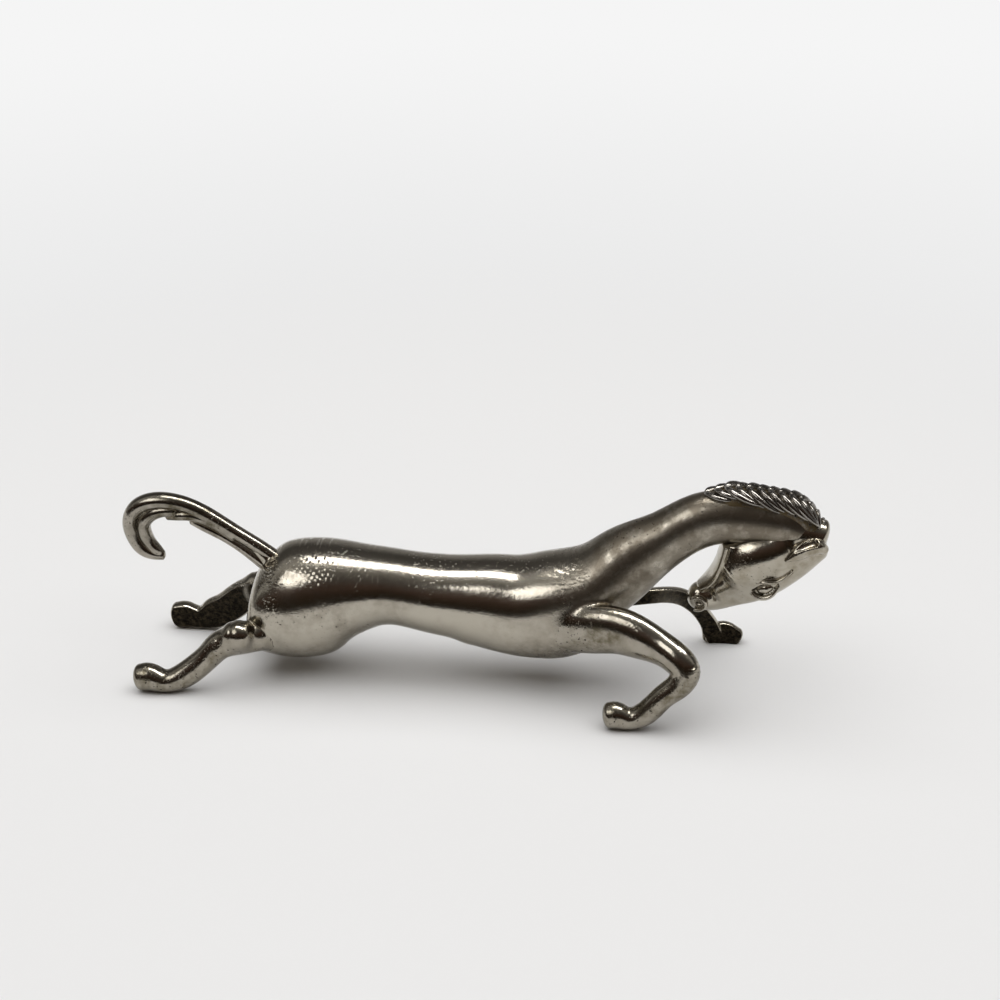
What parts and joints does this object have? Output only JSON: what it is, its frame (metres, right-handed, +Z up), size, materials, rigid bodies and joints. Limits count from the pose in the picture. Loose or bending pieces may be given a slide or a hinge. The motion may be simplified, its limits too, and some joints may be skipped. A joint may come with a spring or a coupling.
{
  "type": "hood ornament",
  "caption": "Streamlined galloping horse figure in polished cast metal, stretched at full leap on flat hooves, with arched neck, ribbed mane and curled tail.",
  "frame": {"origin": "on the ground under the middle of the whole figure", "axes": "+X toward the head, along the body; +Y toward the horse's left side; +Z up from the soles"},
  "size_m": [0.0998, 0.0302, 0.0317],
  "materials": {
    "plated_body": "polished silver plate over a casting, lightly tarnished, with fine pits",
    "plated_head": "polished silver plate, yellowish tarnish in the creases",
    "plated_mane": "silver plate, dark in the grooves between the locks",
    "plated_tail": "silver plate, dark in the grooves between the strands",
    "plated_near_leg": "polished silver plate with small pits",
    "plated_far_leg": "silver plate, the flat inner face left rough as cast and dark"
  },
  "bodies": {
    "root": {"body": "plated_body", "head": "plated_head", "mane": "plated_mane", "tail": "plated_tail", "right_foreleg": "plated_near_leg", "left_foreleg": "plated_far_leg", "right_hind_leg": "plated_near_leg", "left_hind_leg": "plated_far_leg"}
  },
  "joints": []
}
